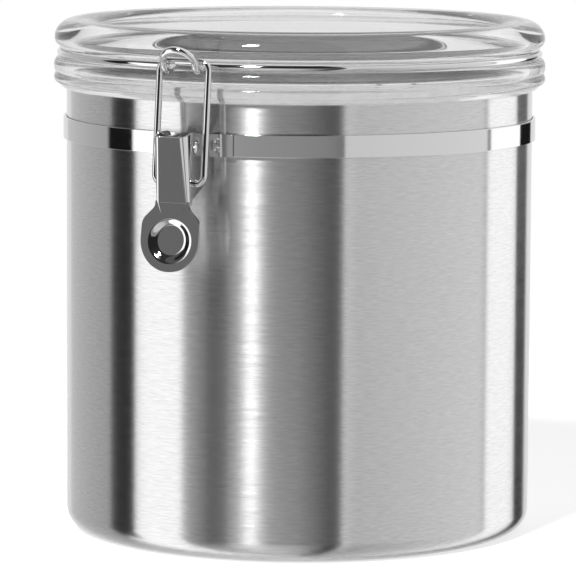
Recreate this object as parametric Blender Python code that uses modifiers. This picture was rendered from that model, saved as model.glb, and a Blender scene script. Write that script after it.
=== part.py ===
"""Stainless food canister with a clear lid and a wire bail clamp.

Z points up and the origin is the centre of the flat base. The clamp faces -Y,
the lid hinges at +Y, and +X is to the right of somebody facing the clamp.
"""
import math

import bmesh
import bpy
from mathutils import Matrix, Vector

# Fits
FIT_GAP = 0.00035
SEAT_GAP = 0.0003

# Can
BODY_RADIUS = 0.0874
BODY_WALL = 0.0008
BODY_HEIGHT = 0.1705
BASE_CORNER = 0.0075
RIM_BEAD_RADIUS = 0.00085
RIM_BEAD_PROUD = 0.0003

# Strap round the can, measured down from the rim
BAND_DROP = 0.0153
BAND_WIDTH = 0.0081
BAND_THICKNESS = 0.0009
BAND_EDGE = 0.0002

# Lid skirt, measured from the ledge that sits on the rim
SKIRT_DEPTH = 0.0055
LOWER_BEAD_RISE = -0.0009
LOWER_BEAD_WALL = 0.0041
NOTCH_RISE = 0.0011
NOTCH_WALL = 0.0030
UPPER_BEAD_RISE = 0.0037
UPPER_BEAD_WALL = 0.0037
LEDGE_WIDTH = 0.0031

# Lid ring groove and dome
RING_RISE = 0.00835
RING_WIRE_RADIUS = 0.0013
SHOULDER_RISE = 0.0138
SHOULDER_WALL = 0.0039
SHOULDER_UNDERCUT = 0.0031
SHOULDER_WIDTH = 0.0078
CREST_RISE = 0.0208
RIM_SLOPE_WIDTH = 0.0086
TOP_RECESS = 0.0030
TOP_THICKNESS = 0.00445

# Lid plug and gasket
GASKET_SPACE = 0.0034
PLUG_WALL = 0.0030
PLUG_DEPTH = 0.0125
PLUG_FOOT_THICKNESS = 0.0020
PLUG_FOOT_PROUD = 0.0015
CHANNEL_CROWN = 0.00245
GASKET_HEIGHT = 0.0060
GASKET_LIP = 0.0006

# Front hook of the lid ring
HOOK_HALF_SPACING = 0.0062
HOOK_REACH = 0.0084
HOOK_DROP = 0.0020
HOOK_LEG_TOP = 0.0018
HOOK_ARCH_RISE = 0.0046
HOOK_ARCH_LEAN = 0.0040
HOOK_BEND = 0.0026
HOOK_TOE_BEND = 0.0029

# Bail
BAIL_WIRE_RADIUS = 0.00125
BAIL_HALF_SPACING = 0.00975
BAIL_BAR_REACH = 0.0043
BAIL_TOP_BEND = 0.0034
BAIL_FOOT_BEND = 0.0030
BAIL_TIP_INSET = 0.0008

# Lever, measured from its pivot
PIVOT_STANDOFF = 0.00955
PIVOT_DROP = 0.0006
BAIL_PIVOT_DROP = 0.0126
BAIL_PIVOT_INSET = 0.0002
LEVER_HALF_WIDTH = 0.0066
SHEET = 0.0009
FACE_TOP_REACH = 0.0083
FACE_TOP_RISE = 0.0044
FACE_WAIST_REACH = 0.0054
FACE_WAIST_DROP = 0.0191
FACE_BEND_TOP = 0.00265
FACE_BEND_WAIST = 0.0012
FLANGE_TOP_RISE = 0.0059
FLANGE_SHOULDER_REACH = 0.0022
FLANGE_BACK = 0.0057
FLANGE_BACK_ROUND = 0.0040
FLANGE_BELOW_BAIL = 0.0015
FLANGE_TAPER = 0.0042
FLANGE_TOE_DEPTH = 0.0024

# Finger tab at the foot of the lever
TAB_RADIUS = 0.0114
TAB_DROP = 0.0131
TAB_KICK = 0.14
TAB_SHOULDER_DROP = 0.0020
TAB_SHOULDER_WIDTH = 0.0108
DISH_RADIUS = 0.0086
DISH_FLOOR_RADIUS = 0.0051
DISH_DEPTH = 0.00115

# Latch bracket and pin
EAR_THICKNESS = 0.0010
EAR_ROUND = 0.0036
WING_REACH = 0.0163
PLATE_THICKNESS = 0.0008
WELD_MARK_RADIUS = 0.0011
WELD_MARK_DEPTH = 0.00025
WELD_MARK_OFFSET = 0.0107
WELD_MARK_PITCH = 0.0030
PIN_RADIUS = 0.0014
PIN_HEAD_RADIUS = 0.0020
PIN_HEAD_THICKNESS = 0.0010

# Rear hinge
HINGE_OFFSET = 0.00385
HINGE_DROP = 0.0035
HINGE_WIRE_HALF = 0.0085
HINGE_WIRE_BEND = 0.0020
KNUCKLE_HALF = 0.0055
KNUCKLE_WALL = 0.0008
HINGE_PLATE_REACH = 0.0125
HINGE_RISER_BEND_RISE = 0.0024

# Facets
TURN_STEPS = 72
SMALL_STEPS = 20
WING_FACETS = 9
HINGE_PLATE_FACETS = 7
ARC_STEP = math.radians(22.5)

# Places that follow from the sizes
BODY_INNER = BODY_RADIUS - BODY_WALL
RIM_BEAD_CENTRE = BODY_RADIUS + RIM_BEAD_PROUD - RIM_BEAD_RADIUS
RIM_INNER = RIM_BEAD_CENTRE - RIM_BEAD_RADIUS
BAND_INNER = BODY_RADIUS + FIT_GAP
BAND_OUTER = BAND_INNER + BAND_THICKNESS
BAND_TOP = BODY_HEIGHT - BAND_DROP
BAND_BOTTOM = BAND_TOP - BAND_WIDTH
BAND_MIDDLE = BAND_TOP - BAND_WIDTH / 2
LEDGE_Z = BODY_HEIGHT + FIT_GAP
SKIRT_INNER = BODY_RADIUS + RIM_BEAD_PROUD + FIT_GAP
LOWER_BEAD_OUTER = SKIRT_INNER + LOWER_BEAD_WALL
CHANNEL_OUTER = SKIRT_INNER - LEDGE_WIDTH
PLUG_OUTER = BODY_INNER - GASKET_SPACE
PLUG_INNER = PLUG_OUTER - PLUG_WALL
PLUG_BOTTOM = LEDGE_Z - PLUG_DEPTH
GROOVE_RADIUS = RING_WIRE_RADIUS + FIT_GAP
RING_RADIUS = SKIRT_INNER + GROOVE_RADIUS
RING_Z = LEDGE_Z + RING_RISE
CREST_Z = LEDGE_Z + CREST_RISE
LID_FLOOR_Z = CREST_Z - TOP_RECESS
SHOULDER_Z = LEDGE_Z + SHOULDER_RISE
SHOULDER_OUTER = SKIRT_INNER + SHOULDER_WALL
CREST_RADIUS = SHOULDER_OUTER - SHOULDER_WIDTH
PIVOT_REACH = BAND_OUTER + PIVOT_STANDOFF
PIVOT_Z = BAND_MIDDLE - PIVOT_DROP
BAIL_PIVOT_REACH = PIVOT_REACH - BAIL_PIVOT_INSET
BAIL_PIVOT_Z = PIVOT_Z - BAIL_PIVOT_DROP
BAR_REACH = RING_RADIUS + BAIL_BAR_REACH
HOOK_SLOPE = HOOK_DROP / HOOK_REACH
WIRE_SEAT = RING_WIRE_RADIUS + BAIL_WIRE_RADIUS + FIT_GAP
BAR_Z = RING_Z - HOOK_SLOPE * BAIL_BAR_REACH + WIRE_SEAT * math.hypot(1.0, HOOK_SLOPE)
FLANGE_INNER = LEVER_HALF_WIDTH - SHEET
EAR_OUTER = FLANGE_INNER - FIT_GAP
PLATE_INNER = BAND_OUTER + SEAT_GAP
PLATE_OUTER = PLATE_INNER + PLATE_THICKNESS
HINGE_Y = LOWER_BEAD_OUTER + HINGE_OFFSET
HINGE_Z = BODY_HEIGHT - HINGE_DROP
KNUCKLE_INNER = RING_WIRE_RADIUS + FIT_GAP
KNUCKLE_OUTER = KNUCKLE_INNER + KNUCKLE_WALL


def front(x, reach, z):
    """Point on the clamp side, at a reach out from the can's axis."""
    return Vector((x, -reach, z))


def clear_scene():
    for obj in list(bpy.data.objects):
        bpy.data.objects.remove(obj, do_unlink=True)


def new_collection(name):
    collection = bpy.data.collections.new(name)
    bpy.context.scene.collection.children.link(collection)
    return collection


def metal(name, colour, roughness):
    return principled(name, colour, roughness, metallic=1.0)


def principled(name, colour, roughness, metallic=0.0, transmission=0.0):
    material = bpy.data.materials.new(name)
    material.use_nodes = True
    shader = material.node_tree.nodes["Principled BSDF"]
    shader.inputs["Base Color"].default_value = (*colour, 1.0)
    shader.inputs["Roughness"].default_value = roughness
    shader.inputs["Metallic"].default_value = metallic
    shader.inputs["Transmission Weight"].default_value = transmission
    material.diffuse_color = (*colour, 1.0)
    return material


def add_object(name, data, collection, material=None):
    obj = bpy.data.objects.new(name, data)
    collection.objects.link(obj)
    if material is not None:
        data.materials.append(material)
    return obj


def hide_cutter(obj):
    obj.hide_render = True
    obj.display_type = "WIRE"
    return obj


def set_origin(obj, point):
    """Put the object's origin at a point without moving its shape."""
    obj.data.transform(Matrix.Translation(obj.location - point))
    obj.location = point


def arc(centre, radius_u, radius_v, start, end, step=ARC_STEP):
    """Points of an elliptical arc, from one angle to another in degrees."""
    start = math.radians(start)
    end = math.radians(end)
    count = max(1, math.ceil(abs(end - start) / step - 1e-6))
    angles = [start + (end - start) * i / count for i in range(count + 1)]
    return [
        (centre[0] + radius_u * math.cos(a), centre[1] + radius_v * math.sin(a))
        for a in angles
    ]


def fillet(path, closed=False, step=ARC_STEP):
    """Points of a polyline whose corners are rounded.

    The path is a list of (point, radius), and a radius of 0 keeps the corner.
    """
    points = []
    count = len(path)
    for i, (corner, radius) in enumerate(path):
        corner = Vector(corner)
        is_end = not closed and i in (0, count - 1)
        if is_end or radius <= 0.0:
            points.append(corner)
            continue
        before = (Vector(path[i - 1][0]) - corner).normalized()
        after = (Vector(path[(i + 1) % count][0]) - corner).normalized()
        opening = before.angle(after)
        reach = radius / math.tan(opening / 2)
        centre = corner + (before + after).normalized() * (radius / math.sin(opening / 2))
        first = corner + before * reach - centre
        last = corner + after * reach - centre
        turn = math.pi - opening
        pieces = max(1, math.ceil(turn / step - 1e-6))
        for k in range(pieces + 1):
            part = k / pieces
            weight_first = math.sin((1 - part) * turn) / math.sin(turn)
            weight_last = math.sin(part * turn) / math.sin(turn)
            points.append(centre + first * weight_first + last * weight_last)
    return points


def turned(name, profile, collection, material=None, steps=TURN_STEPS):
    """Solid of revolution about Z; the profile runs down its outer side."""
    mesh = bpy.data.meshes.new(name)
    shape = bmesh.new()
    verts = [shape.verts.new((radius, 0.0, z)) for radius, z in profile]
    for first, second in zip(verts, verts[1:]):
        shape.edges.new((first, second))
    on_axis = profile[0][0] < 1e-9 and profile[-1][0] < 1e-9
    if not on_axis:
        shape.edges.new((verts[-1], verts[0]))
    shape.to_mesh(mesh)
    shape.free()
    obj = add_object(name, mesh, collection, material)
    screw = obj.modifiers.new("Turn", "SCREW")
    screw.axis = "Z"
    screw.steps = steps
    screw.render_steps = steps
    screw.use_merge_vertices = True
    screw.merge_threshold = 0.00001
    screw.use_smooth_shade = True
    return obj


def plate(name, outline, thickness, frame, collection, material=None):
    """Flat plate whose outline lies in the frame's XY plane, thick along its Z."""
    curve = bpy.data.curves.new(name, "CURVE")
    curve.dimensions = "2D"
    curve.fill_mode = "BOTH"
    curve.extrude = thickness / 2
    spline = curve.splines.new("POLY")
    spline.points.add(len(outline) - 1)
    for point, (u, v) in zip(spline.points, outline):
        point.co = (u, v, 0.0, 1.0)
    spline.use_cyclic_u = True
    outline_object = add_object(name + "_outline", curve, collection)
    bpy.context.view_layer.update()
    graph = bpy.context.evaluated_depsgraph_get()
    mesh = bpy.data.meshes.new_from_object(outline_object.evaluated_get(graph))
    bpy.data.objects.remove(outline_object, do_unlink=True)
    shape = bmesh.new()
    shape.from_mesh(mesh)
    bmesh.ops.remove_doubles(shape, verts=shape.verts, dist=0.00001)
    bmesh.ops.transform(shape, matrix=frame, verts=shape.verts)
    bmesh.ops.recalc_face_normals(shape, faces=shape.faces)
    shape.to_mesh(mesh)
    shape.free()
    mesh.name = name
    return add_object(name, mesh, collection, material)


def wire(name, points, radius, collection, material, closed=False):
    """Round wire along a path of points."""
    curve = bpy.data.curves.new(name, "CURVE")
    curve.dimensions = "3D"
    curve.bevel_depth = radius
    curve.bevel_resolution = 2
    curve.use_fill_caps = True
    spline = curve.splines.new("POLY")
    spline.points.add(len(points) - 1)
    for point, place in zip(spline.points, points):
        point.co = (*place, 1.0)
    spline.use_cyclic_u = closed
    spline.use_smooth = True
    return add_object(name, curve, collection, material)


def loft(name, sections, collection, material=None):
    """Closed solid through sections that all have the same number of points."""
    mesh = bpy.data.meshes.new(name)
    shape = bmesh.new()
    rings = [[shape.verts.new(point) for point in section] for section in sections]
    for lower, upper in zip(rings, rings[1:]):
        for i in range(len(lower)):
            j = (i + 1) % len(lower)
            shape.faces.new((lower[i], lower[j], upper[j], upper[i]))
    shape.faces.new(reversed(rings[0]))
    shape.faces.new(rings[-1])
    bmesh.ops.recalc_face_normals(shape, faces=shape.faces)
    shape.to_mesh(mesh)
    shape.free()
    return add_object(name, mesh, collection, material)


def boolean(obj, tool, operation):
    modifier = obj.modifiers.new(operation.title() + " " + tool.name, "BOOLEAN")
    modifier.operation = operation
    modifier.solver = "EXACT"
    modifier.object = tool


def side_frame(reach, z, x=0.0):
    """Frame whose X is outward from the clamp side, Y up and Z across."""
    axes = Matrix(((0.0, 0.0, -1.0), (-1.0, 0.0, 0.0), (0.0, 1.0, 0.0))).to_4x4()
    return Matrix.Translation(front(x, reach, z)) @ axes


def cross_rod(name, radius, half_length, centre, collection, steps=SMALL_STEPS):
    """Cutter rod along X through a point."""
    profile = [(0.0, half_length), (radius, half_length), (radius, -half_length), (0.0, -half_length)]
    rod = turned(name, profile, collection, steps=steps)
    rod.rotation_euler = (0.0, math.pi / 2, 0.0)
    rod.location = centre
    return hide_cutter(rod)


def shade_round(obj, angle=40.0):
    obj.data.shade_smooth()
    obj.data.set_sharp_from_angle(angle=math.radians(angle))


def make_body(parts, steel):
    straight = BODY_INNER
    bead = arc((RIM_BEAD_CENTRE, BODY_HEIGHT - RIM_BEAD_RADIUS),
               RIM_BEAD_RADIUS, RIM_BEAD_RADIUS, 90, -40, math.radians(33))
    bead_inside = arc((RIM_BEAD_CENTRE, BODY_HEIGHT - RIM_BEAD_RADIUS),
                      RIM_BEAD_RADIUS, RIM_BEAD_RADIUS, 252, 123, math.radians(43))
    neck_z = BODY_HEIGHT - 2.0 * RIM_BEAD_RADIUS
    outer_corner = arc((BODY_RADIUS - BASE_CORNER, BASE_CORNER), BASE_CORNER, BASE_CORNER,
                       0, -90, math.radians(15))
    inner_corner = arc((BODY_RADIUS - BASE_CORNER, BASE_CORNER), BASE_CORNER - BODY_WALL,
                       BASE_CORNER - BODY_WALL, -90, 0)
    profile = bead + [(BODY_RADIUS, neck_z)] + outer_corner + [(0.0, 0.0)]
    inside = [(0.0, BODY_WALL)] + inner_corner + [(straight, neck_z - BODY_WALL)] + bead_inside
    loop = inside + profile
    body = turned("canister_body", loop, parts, steel)
    return body


def make_band(parts, steel):
    profile = [
        (BAND_OUTER - BAND_EDGE, BAND_TOP),
        (BAND_OUTER, BAND_TOP - BAND_EDGE),
        (BAND_OUTER, BAND_BOTTOM + BAND_EDGE),
        (BAND_OUTER - BAND_EDGE, BAND_BOTTOM),
        (BAND_INNER, BAND_BOTTOM),
        (BAND_INNER, BAND_TOP),
    ]
    return turned("clamp_band", profile, parts, steel)


def lid_profile():
    """Lid section: over the top, down the ribbed side, and back up inside."""
    floor_edge = CREST_RADIUS - RIM_SLOPE_WIDTH
    inner_slope = arc((CREST_RADIUS, LID_FLOOR_Z), RIM_SLOPE_WIDTH, TOP_RECESS, 180, 90)
    shoulder = arc((CREST_RADIUS, SHOULDER_Z), SHOULDER_WIDTH, CREST_Z - SHOULDER_Z, 90, 0,
                   math.radians(15))
    undercut = arc((SHOULDER_OUTER - SHOULDER_UNDERCUT, SHOULDER_Z), SHOULDER_UNDERCUT,
                   SHOULDER_UNDERCUT, 0, -62, math.radians(31))
    groove = arc((RING_RADIUS, RING_Z), GROOVE_RADIUS, GROOVE_RADIUS, 78, 284,
                 math.radians(26))
    upper_z = LEDGE_Z + UPPER_BEAD_RISE
    notch_z = LEDGE_Z + NOTCH_RISE
    lower_z = LEDGE_Z + LOWER_BEAD_RISE
    bottom_z = LEDGE_Z - SKIRT_DEPTH
    upper_outer = SKIRT_INNER + UPPER_BEAD_WALL
    notch_outer = SKIRT_INNER + NOTCH_WALL
    bead_start = groove[-1]
    upper_bead = arc((bead_start[0], upper_z), upper_outer - bead_start[0],
                     bead_start[1] - upper_z, 70, 0, math.radians(35))
    upper_fall = arc((notch_outer, upper_z), upper_outer - notch_outer,
                     upper_z - notch_z, -45, -90, math.radians(45))
    lower_rise = arc((notch_outer, lower_z), LOWER_BEAD_OUTER - notch_outer,
                     notch_z - lower_z, 45, 0, math.radians(45))
    lip = arc((SKIRT_INNER + FIT_GAP, lower_z), LOWER_BEAD_OUTER - SKIRT_INNER - FIT_GAP,
              lower_z - bottom_z, -22.5, -90)
    crown_z = CREST_Z - CHANNEL_CROWN
    channel_middle = (CHANNEL_OUTER + PLUG_OUTER) / 2
    channel_half = (CHANNEL_OUTER - PLUG_OUTER) / 2
    crown = arc((channel_middle, crown_z - channel_half), channel_half, channel_half, 0, 180,
                math.radians(45))
    foot_top = PLUG_BOTTOM + PLUG_FOOT_THICKNESS
    foot_outer = PLUG_OUTER + PLUG_FOOT_PROUD
    underside = LID_FLOOR_Z - TOP_THICKNESS
    profile = [(0.0, LID_FLOOR_Z), (floor_edge * 0.5, LID_FLOOR_Z)]
    profile += inner_slope + shoulder[1:] + undercut[1:] + groove + upper_bead + upper_fall
    profile += lower_rise + lip
    profile += [(SKIRT_INNER, LEDGE_Z), (CHANNEL_OUTER, LEDGE_Z)]
    profile += crown
    profile += [(PLUG_OUTER, foot_top), (foot_outer, foot_top), (foot_outer, PLUG_BOTTOM)]
    profile += [(PLUG_INNER, PLUG_BOTTOM), (PLUG_INNER, underside)]
    profile += [(floor_edge * 0.5, underside), (0.0, underside)]
    return profile


def make_lid(parts, clear):
    return turned("lid", lid_profile(), parts, clear)


def make_gasket(parts, rubber):
    inner = PLUG_OUTER + SEAT_GAP
    outer = RIM_INNER - FIT_GAP
    bottom = PLUG_BOTTOM + PLUG_FOOT_THICKNESS + SEAT_GAP
    top = bottom + GASKET_HEIGHT
    middle = (bottom + top) / 2
    profile = [
        (outer - GASKET_LIP, top),
        (outer, top - GASKET_LIP),
        (outer - GASKET_LIP, middle),
        (outer, bottom + GASKET_LIP),
        (outer - GASKET_LIP, bottom),
        (inner, bottom),
        (inner, top),
    ]
    return turned("lid_gasket", profile, parts, rubber)


def ring_path():
    """Path of the lid ring: groove, front hook, groove, rear hinge loop."""
    def on_ring(x, y_sign):
        return Vector((x, y_sign * math.sqrt(RING_RADIUS ** 2 - x ** 2), RING_Z))

    toe_z = RING_Z - HOOK_DROP
    toe_reach = RING_RADIUS + HOOK_REACH
    leg_top = RING_Z + HOOK_LEG_TOP
    front_exit = HOOK_HALF_SPACING + HOOK_BEND * 1.15
    rear_exit = HINGE_WIRE_HALF + HOOK_BEND * 1.15

    def hook_side(side):
        root = on_ring(side * HOOK_HALF_SPACING, -1)
        return [
            (root, HOOK_BEND),
            (front(side * HOOK_HALF_SPACING, toe_reach, toe_z), HOOK_TOE_BEND),
            (front(side * HOOK_HALF_SPACING, toe_reach, leg_top), 0.0),
        ]

    arch_angles = [math.radians(a) for a in range(20, 161, 20)]
    arch = []
    for angle in arch_angles:
        rise = math.sin(angle)
        point = front(-HOOK_HALF_SPACING * math.cos(angle),
                      toe_reach + HOOK_ARCH_LEAN * rise,
                      leg_top + HOOK_ARCH_RISE * rise)
        arch.append((point, 0.0))

    def hinge_side(side):
        root = on_ring(side * HINGE_WIRE_HALF, 1)
        return [
            (root, HOOK_BEND),
            (Vector((side * HINGE_WIRE_HALF, HINGE_Y, RING_Z)), HOOK_TOE_BEND),
            (Vector((side * HINGE_WIRE_HALF, HINGE_Y, HINGE_Z)), HINGE_WIRE_BEND),
        ]

    front_start = math.asin(front_exit / RING_RADIUS)
    rear_start = math.asin(rear_exit / RING_RADIUS)
    step = 2.0 * math.pi / TURN_STEPS

    def groove_run():
        """Angles from the front, each on a facet edge of the groove."""
        first = math.ceil(front_start / step)
        last = math.floor((math.pi - rear_start) / step)
        inner = [k * step for k in range(first, last + 1)]
        return [front_start] + inner + [math.pi - rear_start]

    def groove_point(angle, side):
        return Vector((side * RING_RADIUS * math.sin(angle),
                       -RING_RADIUS * math.cos(angle), RING_Z))

    right_run = [(groove_point(a, 1), 0.0) for a in groove_run()]
    left_run = [(groove_point(a, -1), 0.0) for a in groove_run()]
    path = hook_side(-1) + arch + list(reversed(hook_side(1)))
    path += right_run + hinge_side(1) + list(reversed(hinge_side(-1)))
    path += list(reversed(left_run))
    return fillet(path, closed=True)


def make_lid_ring(parts, steel):
    return wire("lid_ring_wire", ring_path(), RING_WIRE_RADIUS, parts, steel, closed=True)


def make_bail(parts, steel):
    tip = FLANGE_INNER - BAIL_TIP_INSET
    half = BAIL_HALF_SPACING
    path = [
        (front(-tip, BAIL_PIVOT_REACH, BAIL_PIVOT_Z), 0.0),
        (front(-half, BAIL_PIVOT_REACH, BAIL_PIVOT_Z), BAIL_FOOT_BEND),
        (front(-half, BAR_REACH, BAR_Z), BAIL_TOP_BEND),
        (front(half, BAR_REACH, BAR_Z), BAIL_TOP_BEND),
        (front(half, BAIL_PIVOT_REACH, BAIL_PIVOT_Z), BAIL_FOOT_BEND),
        (front(tip, BAIL_PIVOT_REACH, BAIL_PIVOT_Z), 0.0),
    ]
    bail = wire("bail_wire", fillet(path, step=math.radians(15)), BAIL_WIRE_RADIUS, parts, steel)
    return bail


def channel_section(z, face, bend):
    """U of sheet metal at one height: round the outside, back round the inside."""
    half = LEVER_HALF_WIDTH
    back = PIVOT_REACH - FLANGE_BACK - SHEET
    inner_bend = bend - SHEET
    right = arc((half - bend, face - bend), bend, bend, 0, 90)
    left = [(-x, reach) for x, reach in reversed(right)]
    inner_right = arc((half - bend, face - bend), inner_bend, inner_bend, 0, 90)
    inner_left = [(-x, reach) for x, reach in reversed(inner_right)]
    outside = [(half, back)] + right + left + [(-half, back)]
    inside = [(-half + SHEET, back)] + list(reversed(inner_left))
    inside += list(reversed(inner_right)) + [(half - SHEET, back)]
    return [front(x, reach, z) for x, reach in outside + inside]


def lever_side_outline():
    """Side view of the lever's flanges, from the pivot."""
    waist = -FACE_WAIST_DROP
    back_bottom = -BAIL_PIVOT_DROP - FLANGE_BELOW_BAIL
    toe = FACE_WAIST_REACH - FLANGE_TOE_DEPTH
    past_face = FACE_TOP_REACH + SHEET
    path = [
        ((past_face, FACE_TOP_RISE - SHEET * 0.3, 0.0), 0.0),
        ((FLANGE_SHOULDER_REACH, FLANGE_TOP_RISE, 0.0), FLANGE_TOP_RISE * 0.5),
        ((-FLANGE_BACK, FLANGE_TOP_RISE, 0.0), FLANGE_BACK_ROUND),
        ((-FLANGE_BACK, back_bottom, 0.0), SHEET),
        ((toe, back_bottom - FLANGE_TAPER, 0.0), FLANGE_TAPER * 0.7),
        ((toe, waist - SHEET, 0.0), 0.0),
        ((past_face, waist - SHEET, 0.0), 0.0),
    ]
    return [(p.x, p.y) for p in fillet(path, closed=True)]


def tab_frame():
    """Frame of the finger tab: X across, Y up its face, Z out of its face."""
    across = Vector((1.0, 0.0, 0.0))
    out = Vector((0.0, -1.0, TAB_KICK)).normalized()
    up = out.cross(across)
    waist = front(0.0, PIVOT_REACH + FACE_WAIST_REACH, PIVOT_Z - FACE_WAIST_DROP)
    centre = waist - up * TAB_DROP
    axes = Matrix((across, up, out)).transposed().to_4x4()
    return Matrix.Translation(centre) @ axes


def tab_outline():
    half = LEVER_HALF_WIDTH
    top = TAB_DROP + SHEET * 0.6
    neck = TAB_DROP - TAB_SHOULDER_DROP
    wide = neck - (TAB_SHOULDER_WIDTH - half)
    rounded = fillet([
        ((half, top, 0.0), 0.0),
        ((half, neck, 0.0), FACE_BEND_TOP),
        ((TAB_SHOULDER_WIDTH, wide, 0.0), FACE_BEND_TOP),
        ((TAB_RADIUS, 0.0, 0.0), 0.0),
    ])
    right = [(p.x, p.y) for p in rounded]
    bottom = arc((0.0, 0.0), TAB_RADIUS, TAB_RADIUS, 0, -180, math.radians(11.25))
    left = [(-x, y) for x, y in reversed(right)]
    return right + bottom[1:-1] + left


def make_lever(parts, cutters, steel):
    top_z = PIVOT_Z + FLANGE_TOP_RISE + SHEET
    waist_z = PIVOT_Z - FACE_WAIST_DROP
    foot_z = waist_z - 2.0 * SHEET
    face_slope = (FACE_TOP_REACH - FACE_WAIST_REACH) / (FACE_TOP_RISE + FACE_WAIST_DROP)
    top_face = PIVOT_REACH + FACE_WAIST_REACH + face_slope * (top_z - waist_z)
    waist_face = PIVOT_REACH + FACE_WAIST_REACH
    foot_face = waist_face + TAB_KICK * (waist_z - foot_z)
    lever = loft("latch_lever", [
        channel_section(foot_z, foot_face, FACE_BEND_WAIST),
        channel_section(waist_z, waist_face, FACE_BEND_WAIST),
        channel_section(top_z, top_face, FACE_BEND_TOP),
    ], parts, steel)
    trim = plate("lever_trim", lever_side_outline(), 2.0 * LEVER_HALF_WIDTH + SHEET,
                 side_frame(PIVOT_REACH, PIVOT_Z), cutters)
    boolean(lever, hide_cutter(trim), "INTERSECT")

    frame = tab_frame()
    face_frame = frame @ Matrix.Translation((0.0, 0.0, -SHEET / 2))
    tab = plate("lever_tab", tab_outline(), SHEET, face_frame, cutters)
    boolean(lever, hide_cutter(tab), "UNION")
    back = -SHEET
    wall_shift = SHEET * 0.35
    bump = turned("lever_dish_back", [
        (0.0, back / 2),
        (DISH_RADIUS + wall_shift, back / 2),
        (DISH_RADIUS + wall_shift, back),
        (DISH_FLOOR_RADIUS + wall_shift, back - DISH_DEPTH),
        (0.0, back - DISH_DEPTH),
    ], cutters, steps=2 * SMALL_STEPS)
    bump.matrix_world = frame
    boolean(lever, hide_cutter(bump), "UNION")
    dish = turned("lever_dish_front", [
        (0.0, SHEET),
        (DISH_RADIUS, SHEET),
        (DISH_RADIUS, 0.0),
        (DISH_FLOOR_RADIUS, -DISH_DEPTH),
        (0.0, -DISH_DEPTH),
    ], cutters, steps=2 * SMALL_STEPS)
    dish.matrix_world = frame
    boolean(lever, hide_cutter(dish), "DIFFERENCE")

    reach = LEVER_HALF_WIDTH + SHEET
    pin_hole = cross_rod("lever_pin_hole", PIN_RADIUS + FIT_GAP, reach,
                         front(0.0, PIVOT_REACH, PIVOT_Z), cutters)
    boolean(lever, pin_hole, "DIFFERENCE")
    bail_hole = cross_rod("lever_bail_hole", BAIL_WIRE_RADIUS + FIT_GAP, reach,
                          front(0.0, BAIL_PIVOT_REACH, BAIL_PIVOT_Z), cutters)
    boolean(lever, bail_hole, "DIFFERENCE")
    return lever


def curved_plate_outline(reach, facing, facets):
    """Plan of a plate that lies round the band, as wide as its reach each way."""
    half_angle = math.degrees(math.asin(reach / PLATE_OUTER))
    step = math.radians(2.0 * half_angle) / facets
    middle = 90.0 * facing
    outer = arc((0.0, 0.0), PLATE_OUTER, PLATE_OUTER, middle - half_angle, middle + half_angle,
                step)
    inner = arc((0.0, 0.0), PLATE_INNER, PLATE_INNER, middle + half_angle, middle - half_angle,
                step)
    return outer + inner


def ear_outline():
    """Side view of one ear, from the pivot."""
    root = PLATE_INNER + PLATE_THICKNESS / 2 - PIVOT_REACH
    top = BAND_TOP - BAND_EDGE - PIVOT_Z
    bottom = BAND_BOTTOM + BAND_EDGE - PIVOT_Z
    nose = arc((0.0, 0.0), EAR_ROUND, EAR_ROUND, -100, 100)
    return [(root, bottom)] + nose + [(root, top)]


def make_latch_bracket(parts, cutters, steel):
    flat = Matrix.Translation((0.0, 0.0, BAND_MIDDLE))
    outline = curved_plate_outline(WING_REACH, -1, WING_FACETS)
    bracket = plate("latch_bracket", outline, BAND_WIDTH, flat, parts, steel)
    mark_angle = math.asin(WELD_MARK_OFFSET / PLATE_OUTER)
    for side, label in ((-1, "left"), (1, "right")):
        for level, word in ((-0.5, "low"), (0.5, "high")):
            mark = turned("weld_mark_%s_%s" % (label, word), [
                (0.0, PLATE_THICKNESS),
                (WELD_MARK_RADIUS, PLATE_THICKNESS),
                (WELD_MARK_RADIUS * 0.8, -WELD_MARK_DEPTH),
                (0.0, -WELD_MARK_DEPTH),
            ], cutters, steps=SMALL_STEPS // 2)
            mark.rotation_euler = (math.pi / 2, 0.0, side * mark_angle)
            mark.location = (side * WELD_MARK_OFFSET, -PLATE_OUTER * math.cos(mark_angle),
                             BAND_MIDDLE + level * WELD_MARK_PITCH)
            boolean(bracket, hide_cutter(mark), "DIFFERENCE")
    for side, label in ((-1, "left"), (1, "right")):
        x = side * (EAR_OUTER - EAR_THICKNESS / 2)
        ear = plate("bracket_ear_" + label, ear_outline(), EAR_THICKNESS,
                    side_frame(PIVOT_REACH, PIVOT_Z, x), cutters)
        boolean(bracket, hide_cutter(ear), "UNION")
    pin_hole = cross_rod("bracket_pin_hole", PIN_RADIUS + FIT_GAP, LEVER_HALF_WIDTH,
                         front(0.0, PIVOT_REACH, PIVOT_Z), cutters)
    boolean(bracket, pin_hole, "DIFFERENCE")
    return bracket


def make_lever_pin(parts, steel):
    head_start = LEVER_HALF_WIDTH + SEAT_GAP
    tip = head_start + PIN_HEAD_THICKNESS
    dome = [(r, z) for r, z in arc((0.0, head_start), PIN_HEAD_RADIUS, PIN_HEAD_THICKNESS, 90, 0)]
    upper = [(0.0, tip)] + dome[1:] + [(PIN_RADIUS, head_start)]
    lower = [(r, -z) for r, z in reversed(upper)]
    pin = turned("lever_pin", upper + lower, parts, steel, steps=SMALL_STEPS)
    pin.rotation_euler = (0.0, math.pi / 2, 0.0)
    pin.location = front(0.0, PIVOT_REACH, PIVOT_Z)
    return pin


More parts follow.
